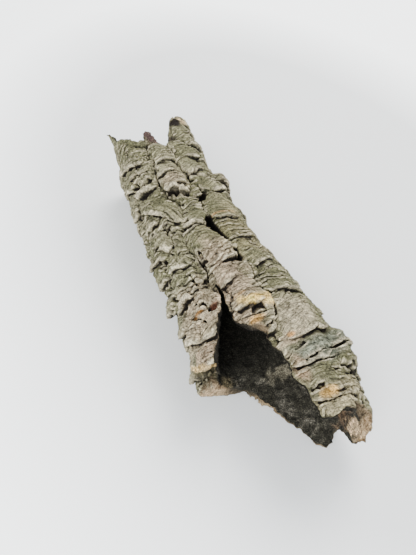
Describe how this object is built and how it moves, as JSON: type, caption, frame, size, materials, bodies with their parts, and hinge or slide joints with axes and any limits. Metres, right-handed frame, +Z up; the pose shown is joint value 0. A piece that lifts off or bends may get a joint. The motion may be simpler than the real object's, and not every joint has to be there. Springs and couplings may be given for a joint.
{
  "type": "piece of cork bark",
  "caption": "Curled tube of weathered cork bark lying on its side, ridged and cracked outside, hollow from end to end, with ragged broken ends.",
  "frame": {"origin": "middle of the bounding box's underside, on the surface that the bark lies on", "axes": "+Y along the tube, from the open slanting mouth to the far end; +Z up; +X to the right seen from the mouth"},
  "size_m": [0.1061, 0.3449, 0.0759],
  "materials": {
    "cork_bark": "dry, rough, grey-green"
  },
  "bodies": {
    "root": {"cork_bark": "cork_bark"}
  },
  "joints": []
}
